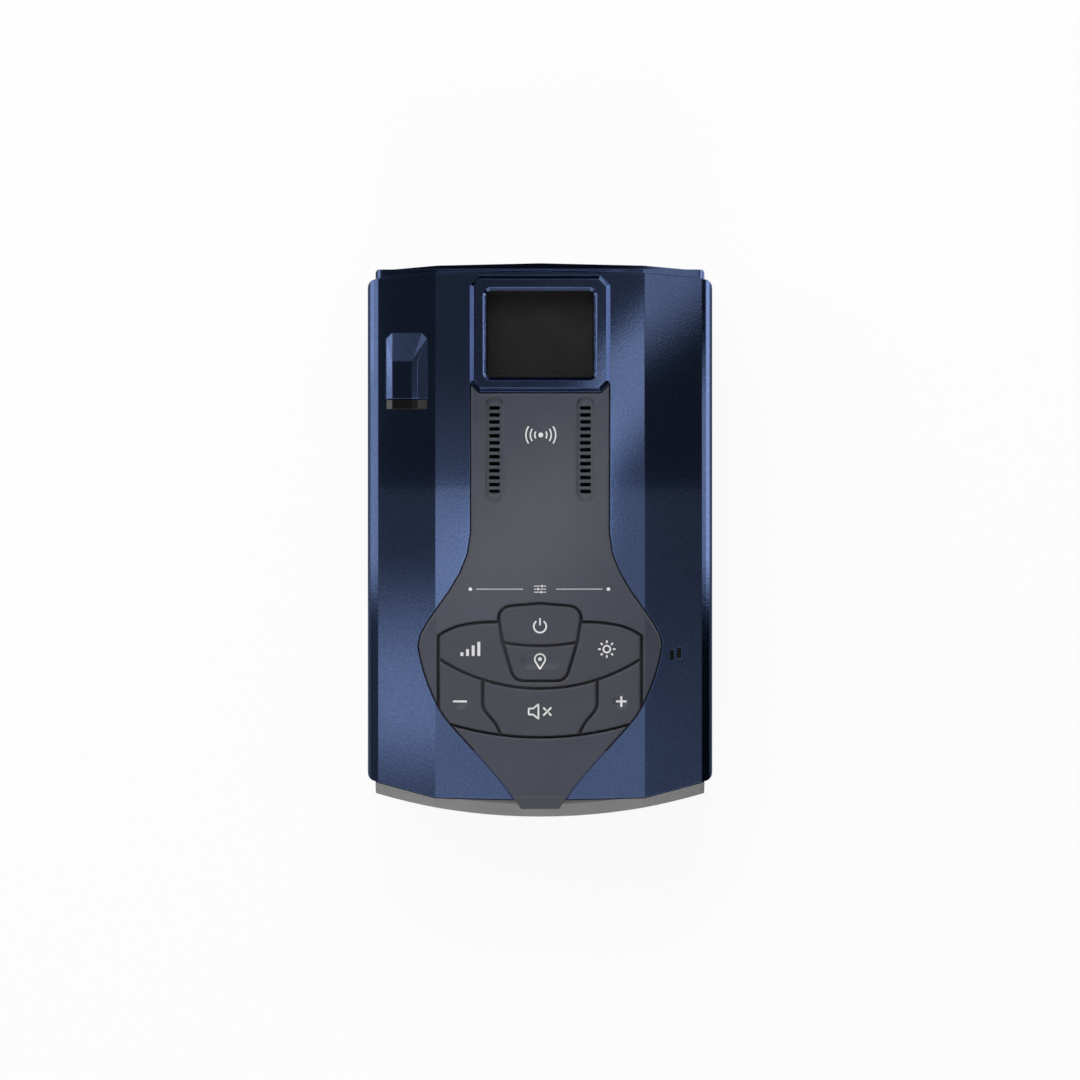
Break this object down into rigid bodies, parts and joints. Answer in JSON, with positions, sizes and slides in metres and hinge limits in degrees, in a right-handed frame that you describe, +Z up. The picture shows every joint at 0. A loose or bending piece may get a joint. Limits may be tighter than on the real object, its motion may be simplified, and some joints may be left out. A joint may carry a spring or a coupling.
{
  "type": "radar detector",
  "caption": "Windscreen radar detector: faceted case with a top key panel, sound vents, a recessed mount dock, a laser hood, a wide display window at the driver end and side sockets.",
  "frame": {"origin": "centre of the bounding box in plan, on the plane of the flat underside", "axes": "+Z up out of the top cover, +Y to the windscreen end, -Y to the driver's display, +X to the driver's right, where the sockets are"},
  "size_m": [0.086, 0.138, 0.034],
  "materials": {
    "cover_blue": "metallic dark blue paint, satin gloss",
    "panel_grey": "satin dark grey",
    "key_grey": "satin dark grey",
    "bezel_grey": "satin mid grey",
    "black_plastic": "fine texture",
    "plunger_black": "smooth",
    "smoked_lens": "polished, smoked",
    "board_green": "solder mask",
    "steel": "plated sheet",
    "cast_metal": "die cast",
    "magnet_iron": "plated",
    "antenna_ceramic": "unglazed ceramic",
    "chip_black": "moulded",
    "clear_guide": "clear, polished",
    "paper_cone": "pressed paper",
    "foam": "closed-cell foam",
    "flex_amber": "amber film"
  },
  "bodies": {
    "housing": {"audio_jack": "black_plastic", "bottom_cover": "black_plastic", "case_screw_front_left": "steel", "case_screw_front_right": "steel", "case_screw_rear_left": "steel", "case_screw_rear_right": "steel", "center_panel": "panel_grey", "display_bezel": "bezel_grey", "display_flex": "flex_amber", "display_frame": "black_plastic", "display_lens": "smoked_lens", "display_module": "chip_black", "dock_magnet_left": "steel", "dock_magnet_right": "steel", "dock_tray": "black_plastic", "front_horn": "cast_metal", "front_laser_lens": "smoked_lens", "front_laser_sensor": "board_green", "light_guide": "clear_guide", "light_sensor": "chip_black", "main_board": "board_green", "mark_switch": "steel", "mixer_board": "board_green", "mute_switch": "steel", "nose_cap": "cover_blue", "power_jack": "black_plastic", "power_switch": "steel", "processor": "chip_black", "rear_horn": "cast_metal", "rear_laser_lens": "smoked_lens", "rear_laser_sensor": "board_green", "rocker_left_switch": "steel", "rocker_right_switch": "steel", "satellite_antenna": "antenna_ceramic", "shield_can": "steel", "speaker_frame": "steel", "speaker_gasket": "foam", "speaker_magnet": "magnet_iron", "top_cover": "cover_blue", "usb_socket": "steel", "volume_down_switch": "steel", "volume_up_switch": "steel", "wireless_module": "steel"},
    "power_button": {"power_key": "key_grey", "power_plunger": "plunger_black"},
    "mark_button": {"mark_key": "key_grey", "mark_plunger": "plunger_black"},
    "volume_down_button": {"volume_down_key": "key_grey", "volume_down_plunger": "plunger_black"},
    "volume_up_button": {"volume_up_key": "key_grey", "volume_up_plunger": "plunger_black"},
    "mute_button": {"mute_key": "key_grey", "mute_plunger": "plunger_black"},
    "rocker": {"rocker_key": "key_grey"},
    "rocker_left_pin": {"rocker_left_plunger": "plunger_black"},
    "rocker_right_pin": {"rocker_right_plunger": "plunger_black"},
    "cone": {"speaker_cone": "paper_cone"}
  },
  "joints": [
    {"name": "power_press", "type": "slide", "parent": "housing", "child": "power_button", "axis": [0, 0, -1], "range_m": [0, 0.0006], "stiffness_N_per_m": 400, "springref_m": -0.001},
    {"name": "mark_press", "type": "slide", "parent": "housing", "child": "mark_button", "axis": [0, 0, -1], "range_m": [0, 0.0006], "stiffness_N_per_m": 400, "springref_m": -0.001},
    {"name": "volume_down_press", "type": "slide", "parent": "housing", "child": "volume_down_button", "axis": [0, 0, -1], "range_m": [0, 0.0006], "stiffness_N_per_m": 400, "springref_m": -0.001},
    {"name": "volume_up_press", "type": "slide", "parent": "housing", "child": "volume_up_button", "axis": [0, 0, -1], "range_m": [0, 0.0006], "stiffness_N_per_m": 400, "springref_m": -0.001},
    {"name": "mute_press", "type": "slide", "parent": "housing", "child": "mute_button", "axis": [0, 0, -1], "range_m": [0, 0.0006], "stiffness_N_per_m": 400, "springref_m": -0.001},
    {"name": "rocker_tilt", "type": "hinge", "parent": "housing", "child": "rocker", "pos_m": [0, -0.0369, 0.0313], "axis": [0, 1, 0], "range_deg": [-1.6, 1.6], "stiffness_Nm_per_rad": 0.2},
    {"name": "rocker_left_press", "type": "slide", "parent": "housing", "child": "rocker_left_pin", "axis": [0, 0, 1], "range_m": [-0.0005, 0.0005]},
    {"name": "rocker_right_press", "type": "slide", "parent": "housing", "child": "rocker_right_pin", "axis": [0, 0, 1], "range_m": [-0.0005, 0.0005]},
    {"name": "cone_stroke", "type": "slide", "parent": "housing", "child": "cone", "axis": [0, 0, 1], "range_m": [-0.0003, 0.0003], "stiffness_N_per_m": 800}
  ],
  "couplings": [
    {"joint": "rocker_left_press", "follows": "rocker_tilt", "m_per_rad": 0.0173},
    {"joint": "rocker_right_press", "follows": "rocker_tilt", "m_per_rad": -0.0173}
  ]
}
